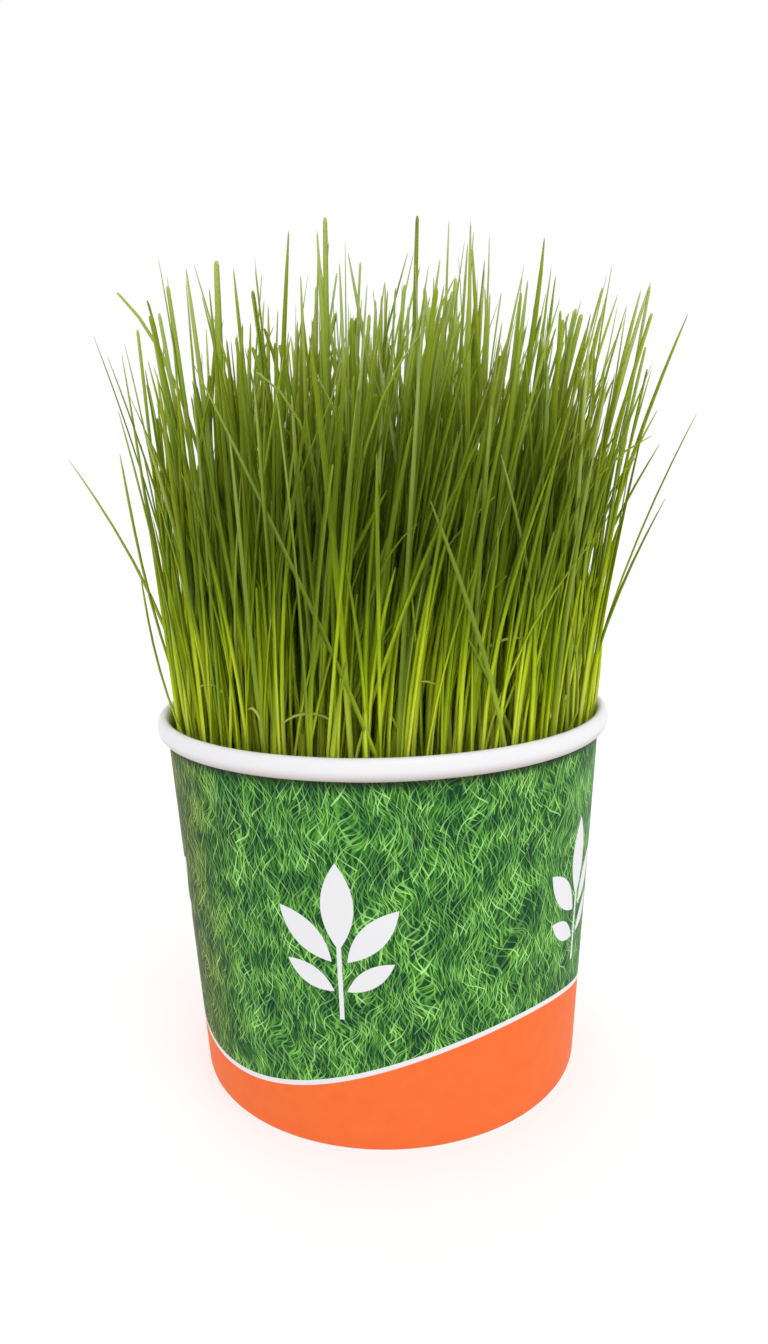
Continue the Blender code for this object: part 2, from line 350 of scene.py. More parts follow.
# The print, in millimetres across from the front and up from the foot: grass in eight layers of
# strokes, five white sprigs, and a waved orange band with a white line along it. Each layer has its
# cells' size, its turn, its strokes' width and its two inks.
MILLIMETRES = 1000
PRINT_RADIUS = 0.04325
ROUND = 2 * math.pi * PRINT_RADIUS * MILLIMETRES * (1 + LAP_WIDTH / FOOT_RADIUS / math.tau)
FRONT = (math.radians(270) - LAP_START) / (math.tau + LAP_WIDTH / FOOT_RADIUS)
PRINT_WHITE = (0.76, 0.755, 0.78)
STROKE_LEAN = 0.9
STROKE_BOW = 1.3
STROKE_REACH = 0.66
STROKE_EDGE = 0.45
STROKES = (
    ((1.20, 10.5), -0.14, 0.34, (0.008, 0.056, 0.016), (0.034, 0.165, 0.020)),
    ((1.05, 10.0), 0.20, 0.26, (0.014, 0.098, 0.018), (0.070, 0.270, 0.028)),
    ((0.95, 9.0), -0.06, 0.21, (0.010, 0.070, 0.020), (0.110, 0.370, 0.042)),
    ((0.95, 8.6), 0.32, 0.18, (0.020, 0.108, 0.024), (0.180, 0.500, 0.070)),
    ((0.90, 8.2), 0.05, 0.17, (0.042, 0.205, 0.032), (0.260, 0.620, 0.105)),
    ((0.95, 7.6), -0.34, 0.15, (0.070, 0.290, 0.044), (0.330, 0.720, 0.155)),
    ((1.30, 7.4), 0.55, 0.14, (0.140, 0.430, 0.085), (0.450, 0.830, 0.280)),
    ((1.50, 7.0), -0.70, 0.13, (0.120, 0.390, 0.075), (0.420, 0.790, 0.250)),
)
# Broad drift, then small curl, of the strokes: scale, detail, and how far across and up.
DRIFTS = ((0.085, 1.0, 9.0, 3.0), (0.18, 0.0, 2.0, 0.8))
# Painted shade: the print is darkened towards olive on the tub's left side, round a place this many
# millimetres left of the front, fading out over this reach, by these multipliers.
PAINTED_SHADE_LEFT = 57.0
PAINTED_SHADE_REACH = 32.0
PAINTED_SHADE_TINT = (1.15, 0.52, 0.40)
MOTIFS = 5
STEP = 2 * math.pi * PRINT_RADIUS * MILLIMETRES / MOTIFS
SPRIG_LEFT = 9.0
TOP_LEAF = (50.5, 17.0, 6.0)
# Each pair of leaves: how far aside, how high, turn, length and width.
LEAF_PAIRS = ((6.2, 44.8, 0.75, 14.0, 5.0), (5.6, 36.6, 1.0, 10.5, 3.8))
STEM_HALF = 0.45
STEM_FOOT = 28.0
STEM_TOP = 44.0
WAVE_LENGTH = STEP * 2.5
WAVE_SHIFT = 0.2
WAVE_RISE = 6.5
WAVE_MIDDLE = 16.5
LINE_WIDTH = 1.1


def leaf_mark(across, up, middle, turn, length, width):
    """A leaf on the print, pointed at both ends: 1 inside it and 0 outside."""
    x, y = across - middle[0], up - middle[1]
    along = x * math.sin(turn) + y * math.cos(turn)
    aside = x * math.cos(turn) - y * math.sin(turn)
    bulge = 1 - (along / (length / 2)) * (along / (length / 2))
    return (bulge * (width / 2) - abs(aside)).rising(-0.04, 0.08)


def printed_strokes(finish, place, cell, turn, seed, wide):
    """One layer of grass: in each long cell one bent stroke that thins upwards, and its tone."""
    rotation = {"rotation_type": "Z_AXIS"}
    turned_place = finish.node("ShaderNodeVectorRotate", rotation, {"Vector": place, "Angle": turn})
    shift = (seed * 7.31, seed * 3.17, 0)
    spot = finish.stretched(turned_place, (1 / cell[0], 1 / cell[1], 0), shift)
    voronoi = {"voronoi_dimensions": "2D"}
    cells = finish.node("ShaderNodeTexVoronoi", voronoi, {"Vector": spot, "Scale": 1.0})
    sockets = {0: spot, 1: cells["Position"]}
    away = finish.split(finish.node("ShaderNodeVectorMath", {"operation": "SUBTRACT"}, sockets))
    chance = finish.node("ShaderNodeSeparateColor", {}, {0: cells["Color"]})
    up = away["Y"]
    leaning = away["X"] - (chance["Red"] - 0.5) * up * STROKE_LEAN
    line = leaning - (chance["Green"] - 0.5) * up * up * STROKE_BOW
    reach = (STROKE_REACH - up).least(1.0) * (wide / cell[0])
    mask = (reach - abs(line)).rising(0.0, wide / cell[0] * STROKE_EDGE)
    return mask, chance["Blue"]


print_finish = Finish("printed_board", specular_ior_level=0.06)
size = (ROUND, TUB_HEIGHT * MILLIMETRES, 0)
sheet = print_finish.stretched(print_finish.flat(), size, (-ROUND * FRONT, 0, 0))
swirl = sheet
for scale, detail, wide, high in DRIFTS:
    push = print_finish.noise(sheet, scale, detail=detail)["Color"]
    push = print_finish.stretched(push, (wide, high, 0), (-wide / 2, -high / 2, 0))
    swirl = print_finish.node("ShaderNodeVectorMath", {"operation": "ADD"}, {0: swirl, 1: push})
clump = print_finish.noise(sheet, 0.15, detail=3.0, rough=0.6).rising(0.36, 0.64)
lawn = print_finish.mix(clump, (0.006, 0.036, 0.020), (0.014, 0.080, 0.014))
for seed, (cell, turn, wide, dark, light) in enumerate(STROKES):
    mask, tone = printed_strokes(print_finish, swirl, cell, turn, seed + 1, wide)
    ink = print_finish.mix((tone * 0.7 + clump * 0.6 - 0.2).clamped(), dark, light)
    lawn = print_finish.mix(mask * (tone * 0.4 + clump * 0.25 + 0.35), lawn, ink)

sheet = print_finish.split(sheet)
across, up = sheet["X"], sheet["Y"]
# Painted shade on the left side: the print multiplied towards olive, softened by the clumps.
painted_left_shade = 1 - (abs(across + PAINTED_SHADE_LEFT) / PAINTED_SHADE_REACH).rising(0.1, 1.0)
lawn = print_finish.mix(painted_left_shade * (clump * 0.3 + 0.7), lawn, PAINTED_SHADE_TINT, "MULTIPLY")
# Painted shadow: the print darkens just under the rim, as if shaded by the bead.
painted_rim_shadow = (up - UNDER_BEAD * MILLIMETRES).rising(-2.6, -0.4)
lawn = print_finish.mix(painted_rim_shadow * 0.8, lawn, (0.010, 0.024, 0.012))

local = across.math("WRAP", across + SPRIG_LEFT, STEP / 2, -STEP / 2)
level, length, width = TOP_LEAF
sprig = leaf_mark(local, up, (0, level), 0, length, width)
for side in (-1, 1):
    for apart, level, turn, length, width in LEAF_PAIRS:
        leaf = leaf_mark(local, up, (side * apart, level), side * turn, length, width)
        sprig = sprig.most(leaf)
stem = (STEM_HALF - abs(local)).rising(-0.05, 0.1)
stem = stem * (up - STEM_FOOT).rising(0, 0.2) * (STEM_TOP - up).rising(0, 0.2)
lawn = print_finish.mix(sprig.most(stem), lawn, PRINT_WHITE)

crest = (across * (2 * math.pi / WAVE_LENGTH) + WAVE_SHIFT).sine() * WAVE_RISE + WAVE_MIDDLE
wave = crest - up
lawn = print_finish.mix(wave.rising(-LINE_WIDTH, 0.1 - LINE_WIDTH), lawn, PRINT_WHITE)
mottle = print_finish.noise(print_finish.place(), 300.0, detail=3.0)
orange = print_finish.mix(mottle, (0.83, 0.144, 0.032), (0.90, 0.176, 0.044))
lawn = print_finish.mix(wave.rising(-0.05, 0.05), lawn, orange)
print_finish.set(Base_Color=lawn)
fibre = print_finish.noise(print_finish.place(), 900.0, detail=3.0)
print_finish.set(Roughness=fibre * 0.12 + 0.44)
print_finish.bump(fibre, 0.00002)

white_board = Finish("white_board", roughness=0.4)
cloud = white_board.noise(white_board.place(), 60.0, detail=4.0)
drawn_out = white_board.stretched(white_board.place(), (1, 1, 0.3))
fibre = white_board.noise(drawn_out, 1400.0, detail=3.0)
coated = white_board.mix(cloud, (0.745, 0.735, 0.76), (0.785, 0.775, 0.79))
level = white_board.split(white_board.place())["Z"]
# Painted shade: a pinkish grey band at the height of the rim's lower edge, where the rolled bead
# turns under.
above = (level - (UNDER_BEAD - BOARD)).rising(-0.0004, 0.0)
painted_under_rim_shade = above * (1 - (level - UNDER_BEAD).rising(-0.0002, 0.0022))
white_board.set(Base_Color=white_board.mix(painted_under_rim_shade * 0.9, coated, (0.47, 0.38, 0.37)))
white_board.set(Roughness=fibre * 0.15 + 0.33)
white_board.bump(fibre * 0.5 + cloud * 0.5, 0.00004)


def thickened(piece, thickness):
    """Gives a sheet its board, half to each side."""
    board = piece.modifiers.new("board", "SOLIDIFY")
    board.thickness = thickness
    board.offset = 0
    return board


blank = rolled_blank(wall_run())
for face in blank.faces:
    middle = face.calc_center_median()
    outside = math.hypot(middle.x, middle.y) > wall_radius(middle.z) - BOARD
    face.material_index = 0 if outside and BOARD < middle.z < UNDER_BEAD else 1
wall = made("tub_wall", blank, print_finish.material, white_board.material, white_board.material)
board = thickened(wall, BOARD)
board.use_even_offset = True
board.material_offset = 1
board.material_offset_rim = 1
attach(wall, "root")
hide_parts("cup_wall")


# The bottom: a disc of white board set up inside the foot, its edge turned down as a skirt that is
# glued between the wall and its hem.
BOTTOM_HEIGHT = 0.0068
SKIRT_BOARD = 0.0005
SKIRT_BEND = 0.0008
SKIRT_GAP = 0.0003
SKIRT_FOOT = 0.0012
DISC_RINGS = (0, 0.012, 0.024, 0.034)


def turned(run, steps):
    """Spins an open run of points (radius, height) once round the axis, with its pole closed."""
    bm = bmesh.new()
    verts = [bm.verts.new((radius, 0, height)) for radius, height in run]
    edges = [bm.edges.new(pair) for pair in zip(verts, verts[1:])]
    axis = {"cent": (0, 0, 0), "axis": (0, 0, 1), "angle": math.tau}
    bmesh.ops.spin(bm, geom=verts + edges, steps=steps, use_merge=True, **axis)
    bmesh.ops.remove_doubles(bm, verts=bm.verts, dist=1e-6)
    bmesh.ops.recalc_face_normals(bm, faces=bm.faces)
    return bm


half = SKIRT_BOARD / 2
ends = (BOTTOM_HEIGHT - half - SKIRT_BEND, SKIRT_FOOT)
skirt = [(wall_radius(z) - BOARD - SKIRT_GAP - half, z) for z in ends]
shoulder = (skirt[0][0] - SKIRT_BEND, skirt[0][1])
disc = [(r, BOTTOM_HEIGHT - half) for r in DISC_RINGS]
bend = arc(shoulder, (SKIRT_BEND, SKIRT_BEND), math.pi / 2, 0, FOLD_ROWS)
bottom = made("tub_bottom", turned([*disc, *bend, skirt[1]], 96), white_board.material)
thickened(bottom, SKIRT_BOARD)
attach(bottom, "root")
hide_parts("cup_bottom")


# The soil: moist dark growing medium, pressed in up to the root mat, with crumbs and pale specks.
# The CAD node is shown as it is, in its own finish.
soil_finish = Finish("moist_soil", roughness=0.95)
sockets = {"Vector": soil_finish.place(), "Scale": 700.0}
crumbs = soil_finish.node("ShaderNodeTexVoronoi", {}, sockets)
grit = soil_finish.noise(soil_finish.place(), 320.0, detail=5.0, rough=0.65)
earth = soil_finish.mix(grit, (0.012, 0.008, 0.005), (0.075, 0.045, 0.026))
speck = soil_finish.noise(soil_finish.place(), 1600.0, detail=1.0).rising(0.70, 0.74)
soil_finish.set(Base_Color=soil_finish.mix(speck, earth, (0.32, 0.26, 0.18)))
soil_finish.set(Roughness=grit * 0.3 + 0.65)
soil_finish.bump(crumbs * 0.6 + grit * 0.6, 0.0006)
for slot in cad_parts["soil"].material_slots:
    slot.material = soil_finish.material


# The root mat: sprouted grain lying close on the soil, knitted together by roots. The mat itself is
# a lumpy disc with the pale roots in its finish, and the grains lie on it.
MAT_TOP = 0.0684
MAT_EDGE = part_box("grass")[0].z
MAT_GAP = 0.0004
MAT_RADIUS = wall_radius(MAT_TOP) - BOARD - MAT_GAP
MAT_RINGS = 34
MAT_ROUND_OUT = 0.0006
MAT_ROUND_DOWN = 0.0007
LUMP_BORDER = 0.0008
LUMP_HEIGHT = 0.0004
LUMP_DROP = 0.0003

mat_finish = Finish("root_mat", roughness=0.8)
knit = mat_finish.noise(mat_finish.place(), 420.0, detail=4.0, warp=1.6)
threads = mat_finish.noise(mat_finish.place(), 260.0, detail=2.0, warp=2.5)
strand = 1 - abs(threads - 0.5).rising(0.0, 0.05)
felt = mat_finish.mix(knit, (0.030, 0.020, 0.010), (0.16, 0.115, 0.055))
mat_finish.set(Base_Color=mat_finish.mix(strand * 0.75, felt, (0.46, 0.41, 0.27)))
mat_finish.set(Roughness=knit * 0.3 + 0.6)
mat_finish.bump(knit * 0.6 + strand * 0.5, 0.0004)

rings = [(r, MAT_TOP) for r in np.linspace(0, MAT_RADIUS - MAT_ROUND_OUT, MAT_RINGS)]
side = [(MAT_RADIUS, MAT_TOP - MAT_ROUND_DOWN), (MAT_RADIUS, MAT_EDGE), (0, MAT_EDGE)]
mat = turned([*rings, *side], 120)
for vert in mat.verts:
    if vert.co.z > MAT_TOP - 0.0001 and vert.co.xy.length < MAT_RADIUS - LUMP_BORDER:
        lumps = noise.noise(vert.co * 330) * LUMP_HEIGHT + noise.noise(vert.co * 130) * LUMP_HEIGHT
        vert.co.z += min(lumps - LUMP_DROP, LUMP_HEIGHT)
mat = made("root_mat", mat, mat_finish.material)
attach(mat, "root")
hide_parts("grass")


# The blades of the CAD grass guide the finer ones, which stand on the same roots and reach the same
# tips. Above the mat each blade is an island of faces, or shares one with a blade that it touches.
BEND = 1.7
AT_MAT = MAT_TOP + 0.0001
LOWEST_TIP = MAT_TOP + 0.02


def parted(verts):
    """The groups of vertices that edges join, each in the order of the mesh."""
    groups, left = [], set(verts)
    for first in sorted(verts, key=lambda vert: vert.index):
        if first not in left:
            continue
        group, edge = {first}, [first]
        while edge:
            for link in edge.pop().link_edges:
                for vert in link.verts:
                    if vert in left and vert not in group:
                        group.add(vert)
                        edge.append(vert)
        left -= group
        groups.append(sorted(group, key=lambda vert: vert.index))
    return groups


def miss(root, tip, ring):
    """How far the ring under a tip lies from the way of a blade with this root."""
    share = (ring.z - root.z) / (tip.z - root.z)
    return (root.xy + (tip - root).xy * share**BEND - ring.xy).length


def cad_blades(node):
    """Root and tip of every blade of the CAD grass, each tip paired with its likeliest root."""
    bm = bmesh.new()
    bm.from_mesh(node.data)
    bmesh.ops.remove_doubles(bm, verts=bm.verts, dist=1e-6)
    flat = [face for face in bm.faces if max(vert.co.z for vert in face.verts) < AT_MAT]
    bmesh.ops.delete(bm, geom=flat, context="FACES")
    bm.verts.index_update()
    found = []
    for island in parted(bm.verts):
        feet = [foot for foot in parted([v for v in island if v.co.z < AT_MAT]) if len(foot) > 2]
        roots = [sum((vert.co for vert in foot), Vector()) / len(foot) for foot in feet]
        for top in island:
            below = [link.other_vert(top).co for link in top.link_edges]
            highest = max(point.z for point in below)
            if roots and top.co.z >= LOWEST_TIP and highest < top.co.z:
                ring = sum(below, Vector()) / len(below)
                root = min(roots, key=lambda root: miss(root, top.co, ring))
                found.append((root, top.co.copy()))
    bm.free()
    return sorted(found, key=lambda pair: tuple(pair[0]) + tuple(pair[1]))


standing = cad_blades(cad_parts["grass"])


# The grains: swollen wheat corns, 6 mm long with a crease along the belly, split by their shoots.
# They lie at all angles on the root mat.
GRAINS = 420
GRAIN_HALF = (0.0013, 0.0015, 0.0031)
GRAIN_TAPER = 0.25
GRAIN_CREASE = 0.35
GRAIN_BORDER = 0.0035

grain_finish = Finish("wheat_grain", roughness=0.55)
skin = grain_finish.noise(grain_finish.place(), 900.0, detail=3.0)
blush = grain_finish.noise(grain_finish.place(), 160.0, detail=1.0)
corn = grain_finish.mix(blush.rising(0.3, 0.7), (0.40, 0.24, 0.09), (0.66, 0.50, 0.25))
grain_finish.set(Base_Color=grain_finish.mix(skin * 0.5, corn, (0.20, 0.10, 0.035)))
grain_finish.set(Roughness=skin * 0.3 + 0.4)
grain_finish.bump(skin, 0.0001)


def sunflower_turn(k):
    """Azimuth of the point k of a sunflower spiral."""
    return k * math.pi * (3 - math.sqrt(5))


def points_of(mesh):
    return np.array([vert.co[:] for vert in mesh.vertices])


def strewn(name, template, frames, tones, *materials):
    """A piece of many copies of a small mesh, each with its own points and its own tone."""
    bm = bmesh.new()
    for _ in frames:
        bm.from_mesh(template)
    piece = made(name, bm, *materials)
    points = np.concatenate(frames).astype(np.float32)
    piece.data.vertices.foreach_set("co", points.ravel())
    tone = piece.data.attributes.new("tone", "FLOAT", "POINT")
    tone.data.foreach_set("value", np.repeat(tones, len(template.vertices)).astype(np.float32))
    piece.data.update()
    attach(piece, "root")
    return piece


draw = random.Random(11)
corn = bmesh.new()
bmesh.ops.create_uvsphere(corn, u_segments=8, v_segments=6, radius=1.0)
for vert in corn.verts:
    end = abs(vert.co.z)
    vert.co.x *= 1 - GRAIN_TAPER * end
    if vert.co.y < -0.9 and end < 0.9:
        vert.co.y += GRAIN_CREASE
template = bpy.data.meshes.new("corn")
corn.to_mesh(template)
corn.free()
shape = points_of(template)
frames = []
for k in range(GRAINS):
    reach = (MAT_RADIUS - GRAIN_BORDER) * math.sqrt((k + 0.5) / GRAINS)
    turn = sunflower_turn(k) + draw.gauss(0, 0.05)
    heading = Matrix.Rotation(draw.uniform(0, math.tau), 3, "Z")
    heading = heading @ Matrix.Rotation(draw.gauss(0, 0.25), 3, "Y")
    lying = heading @ Matrix.Rotation(math.pi / 2, 3, "Y")
    lying = lying @ Matrix.Rotation(draw.uniform(0, math.tau), 3, "Z")
    size = np.array(GRAIN_HALF) * draw.uniform(0.88, 1.08)
    height = MAT_TOP + draw.uniform(0.0002, 0.0010)
    spot = np.array((reach * math.cos(turn), reach * math.sin(turn), height))
    frames.append((shape * size) @ np.array(lying).T + spot)
grains = strewn("grains", template, frames, [draw.random() for _ in frames], grain_finish.material)
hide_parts("grass")


# The blades: thin green leaves, 0.7 to 1.4 mm wide, folded along the middle at the foot and flatter
# above, each bent out along its way. First come those of the CAD model, cut blunt or grown to a
# point, and then finer and mostly shorter ones that fill in between them and by the wall.
SHARES = [0.0, 0.08, 0.18, 0.30, 0.42, 0.54, 0.66, 0.77, 0.87, 0.94, 0.992, 1.0]
POINTED = [0.85, 0.90, 0.96, 1.0, 1.0, 1.0, 0.97, 0.89, 0.75, 0.56, 0.24, 0.05]
BLUNT = [0.85, 0.90, 0.96, 1.0, 1.0, 0.99, 0.97, 0.94, 0.89, 0.83, 0.72, 0.42]
FOLD_DEPTH = 0.34
FOLD_OPENS = 0.55
DROOP = 0.45
ROOT_DEPTH = 0.001
# The blades' colour by height over the mat: the paler yellow-green foot and the green above are
# their own colour, and the bright foot, the dark middle and the lighter tops are also painted light
# and shade.
LEAF_COLOURS_AND_SHADE = (
    (0.00, (0.64, 0.78, 0.060)),
    (0.14, (0.57, 0.76, 0.011)),
    (0.23, (0.315, 0.460, 0.003)),
    (0.36, (0.112, 0.184, 0.001)),
    (0.55, (0.066, 0.118, 0.001)),
    (0.70, (0.142, 0.222, 0.009)),
    (0.85, (0.225, 0.328, 0.045)),
    (1.00, (0.255, 0.360, 0.090)),
)
COLOUR_START = 0.070
COLOUR_SPAN = 0.10

leaf_finish = Finish(
    "grass_leaf",
    specular_ior_level=0.12,
    subsurface_weight=0.4,
    subsurface_radius=(0.9, 1.0, 0.2),
    subsurface_scale=0.002,
)
spread = leaf_finish.split(leaf_finish.flat())
aside, along = spread["X"], spread["Y"]
tone = leaf_finish.node("ShaderNodeAttribute", {"attribute_name": "tone"}, {})["Fac"]
height = leaf_finish.split(leaf_finish.place())["Z"]
patch = leaf_finish.noise(leaf_finish.place(), 90.0, detail=2.0)
uneven = height + (patch - 0.5) * 0.02 + (tone - 0.5) * 0.03
level = (uneven - COLOUR_START) / COLOUR_SPAN
height_colour_and_shade = leaf_finish.node("ShaderNodeValToRGB", {"stops": LEAF_COLOURS_AND_SHADE}, {0: level})
high = level.clamped()
faded = leaf_finish.mix(high.rising(0.50, 0.90), (0.22, 0.31, 0.038), (0.36, 0.46, 0.15))
pale = leaf_finish.mix(tone.rising(0.70, 0.98) * 0.55, height_colour_and_shade, faded)
shaded = (1 - tone.rising(0.05, 0.45)) * (high * 0.7 + 0.15)
deep = leaf_finish.mix(shaded, pale, (0.055, 0.108, 0.002))
# The veins and the midrib are lighter: partly their own paler colour, partly painted highlight.
veins = (aside * 75.0).sine() * 0.5 + 0.5
rib = 1 - abs(aside - 0.5).rising(0.02, 0.10)
lit = leaf_finish.mix(veins * 0.08 + rib * 0.10, deep, (0.56, 0.62, 0.06))
dry = along.rising(0.955, 0.995) * (1 - tone.rising(0.16, 0.24))
leaf_finish.set(Base_Color=leaf_finish.mix(dry * 0.7, lit, (0.07, 0.085, 0.025)))
leaf_finish.set(Roughness=patch * 0.2 + 0.42)
leaf_finish.bump(veins * 0.4 + rib * 0.6, 0.00003)


def blade_template(name, widths):
    """A straight blade of length 1 and width 1 standing at the origin.

    It is a four-cornered section drawn up in rings, one at each share of the length.
    """
    bm = bmesh.new()
    corners = ((-0.5, 0, 0), (0, 0.5, 0), (0.5, 0, 0), (0, -0.5, 0))
    ring = [bm.verts.new(point) for point in corners]
    edges = [bm.edges.new(pair) for pair in zip(ring, ring[1:] + ring[:1])]
    bottom = edges
    for share, width in zip(SHARES[1:], widths[1:]):
        drawn = bmesh.ops.extrude_edge_only(bm, edges=edges)["geom"]
        edges = [item for item in drawn if isinstance(item, bmesh.types.BMEdge)]
        for vert in drawn:
            if isinstance(vert, bmesh.types.BMVert):
                x, y = (round(value / max(map(abs, vert.co.xy))) for value in vert.co.xy)
                vert.co = (x * width / 2, y * width / 2, share)
    bmesh.ops.holes_fill(bm, edges=bottom + edges, sides=0)
    bmesh.ops.recalc_face_normals(bm, faces=bm.faces)
    flat = bm.loops.layers.uv.new("flat")
    for face in bm.faces:
        for loop in face.loops:
            loop[flat].uv = (loop.vert.co.x + 0.5, loop.vert.co.z)
    mesh = bpy.data.meshes.new(name)
    bm.to_mesh(mesh)
    bm.free()
    return mesh


def bent(template, root, tip, width, thickness, facing, twist, sway, hook, bend=BEND):
    """The template's points, moved so that the blade runs from root to tip along its bent way.

    The way stays within the rim up to the rim's top, and opens above it.
    """
    shape = points_of(template)
    root, tip = np.array(root), np.array(tip)
    out = tip - root

    def way(share):
        leaning = np.outer(share**bend, out[:2]) + np.outer(np.sin(share * math.pi), sway)
        xy = leaning + np.outer(share**7, hook)
        z = share * out[2] - DROOP * math.hypot(*hook) * share**9
        return np.column_stack((xy, z)) + root

    share = shape[:, 2]
    middle = way(share)
    inside = wall_radius(UNDER_BEAD) - BOARD - width * 0.6
    clear = inside + np.maximum(middle[:, 2] - TUB_HEIGHT, 0) * 3
    reach = np.maximum(np.hypot(middle[:, 0], middle[:, 1]), 1e-6)
    middle[:, :2] *= np.minimum(1, clear / reach)[:, None]
    tangent = way(np.minimum(share + 0.01, 1.01)) - way(np.maximum(share - 0.01, 0))
    tangent /= np.linalg.norm(tangent, axis=1)[:, None]
    turn = facing + twist * share
    aside = np.column_stack((np.cos(turn), np.sin(turn), np.zeros(len(turn))))
    aside -= tangent * np.sum(tangent * aside, axis=1)[:, None]
    aside /= np.linalg.norm(aside, axis=1)[:, None]
    out_of = np.cross(tangent, aside)
    fold = width * FOLD_DEPTH * (1 - FOLD_OPENS * share) * 2 * np.abs(shape[:, 1])
    lift = fold + shape[:, 1] * thickness
    return middle + aside * (shape[:, 0] * width)[:, None] + out_of * lift[:, None]


def grown(name, blades):
    """Pieces of many blades, one of the pointed and one of the blunt ones."""
    for label, template in (("pointed", pointed), ("blunt", blunt)):
        own = [blade for blade in blades if blade["blunt"] == (label == "blunt")]
        if not own:
            continue
        frames = []
        for blade in own:
            words = {word: value for word, value in blade.items() if word not in ("blunt", "tone")}
            frames.append(bent(template, **words))
        tones = [blade["tone"] for blade in own]
        piece = strewn(f"{name}_{label}", template, frames, tones, leaf_finish.material)
        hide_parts("grass")


pointed = blade_template("pointed_blade", POINTED)
blunt = blade_template("blunt_blade", BLUNT)

OUTERMOST = 0.052
SLENDER_FROM = 0.040
SLENDER_OVER = 0.012
BLUNT_WITHIN = 0.044
FALLEN_SLANT = 0.42
FALLEN_TONE = 0.86
blades = []
for root, tip in standing:
    slant = (tip.xy - root.xy).length / (tip.z - root.z)
    reach = tip.xy.length
    outermost = reach > OUTERMOST
    slender = 1 - 0.25 * min(max((reach - SLENDER_FROM) / SLENDER_OVER, 0), 1)
    curls_over = draw.random() < 0.3 and not outermost
    fallen = slant > FALLEN_SLANT and not outermost
    blades.append(
        {
            "root": (root.x, root.y, MAT_TOP - ROOT_DEPTH),
            "tip": tip[:],
            "width": draw.uniform(0.0010, 0.0014) * slender,
            "thickness": draw.uniform(0.00028, 0.00038),
            "facing": draw.uniform(0, math.tau),
            "twist": draw.uniform(-0.9, 0.9),
            "sway": (draw.gauss(0, 0.0009), draw.gauss(0, 0.0009)),
            "hook": (draw.gauss(0, 0.0024), draw.gauss(0, 0.0016)) if curls_over else (0.0, 0.0),
            "blunt": draw.random() < 0.28 and reach < BLUNT_WITHIN,
            "tone": FALLEN_TONE if fallen else draw.random() * 0.96,
        }
    )
grown("tall_blades", blades)

FILLERS = 900
FILL_REACH = 0.0426
RIM_FILLERS = 130
RIM_REACH = 0.0424
WALL_REACH = 0.0436
EDGE_REACH = 0.0418
FILL_HEIGHT = 0.138
FILL_SPREAD = 0.0160
FILL_LOWEST = 0.086
FILL_HIGHEST = 0.170
EDGE_DROP = 0.010
FRONT_DROP = 0.12
FLARE = 0.0066
LEAN_RIGHT = 0.0062
CALM, UNRULY = 0.0058, 0.0105
SWAY = 0.0046
SWAY_WAVE = 0.052
TUFT_LEFT, TUFT_RIGHT, TUFT_RADIUS = -0.0445, 0.0510, 0.0550
RAGGED = 0.0018
blades = []
for k in range(FILLERS + RIM_FILLERS):
    if k < FILLERS:
        reach = FILL_REACH * math.sqrt((k + 0.5) / FILLERS)
    else:
        reach = draw.uniform(RIM_REACH, WALL_REACH)
    turn = sunflower_turn(k) + 0.4
    spot = Vector((reach * math.cos(turn), reach * math.sin(turn)))
    spot += Vector((draw.gauss(0, 0.0005), draw.gauss(0, 0.0005)))
    if spot.length > WALL_REACH:
        spot *= WALL_REACH / spot.length
    share = spot.length / EDGE_REACH
    wave = math.tau / SWAY_WAVE
    end = spot + spot.normalized() * FLARE * share**1.6
    end += Vector((math.sin(spot.y * wave + 0.8), math.cos(spot.x * wave - 0.5))) * SWAY
    unruly = UNRULY if draw.random() < 0.3 else CALM
    end += Vector((draw.gauss(LEAN_RIGHT, unruly), draw.gauss(0, unruly)))
    left = TUFT_LEFT + draw.gauss(0, RAGGED)
    right = TUFT_RIGHT + draw.gauss(0, RAGGED)
    end.x = min(max(end.x, left), right)
    if end.length > TUFT_RADIUS:
        end *= TUFT_RADIUS / end.length
    highest = FILL_HIGHEST - EDGE_DROP * share**2 + FRONT_DROP * min(end.y, 0)
    top = draw.gauss(FILL_HEIGHT - EDGE_DROP * share**2, FILL_SPREAD)
    top = min(max(top, FILL_LOWEST), highest)
    end = spot + (end - spot) * min((top - MAT_TOP) / (FILL_HEIGHT - MAT_TOP), 1)
    curls_over = draw.random() < 0.16 and share < 0.9
    loose = 0.0016 if share < 0.95 else 0.0006
    blades.append(
        {
            "root": (spot.x, spot.y, MAT_TOP - ROOT_DEPTH),
            "tip": (end.x, end.y, top),
            "width": draw.uniform(0.0007, 0.0012),
            "thickness": draw.uniform(0.00026, 0.00034),
            "facing": draw.uniform(0, math.tau),
            "twist": draw.uniform(-1.2, 1.2),
            "sway": (draw.gauss(0, loose), draw.gauss(0, loose)),
            "hook": (draw.gauss(0, 0.0045), draw.gauss(0, 0.0030)) if curls_over else (0.0, 0.0),
            "blunt": draw.random() < 0.2,
            "tone": draw.random(),
            "bend": draw.uniform(1.3, 2.0),
        }
    )
grown("filling_blades", blades)


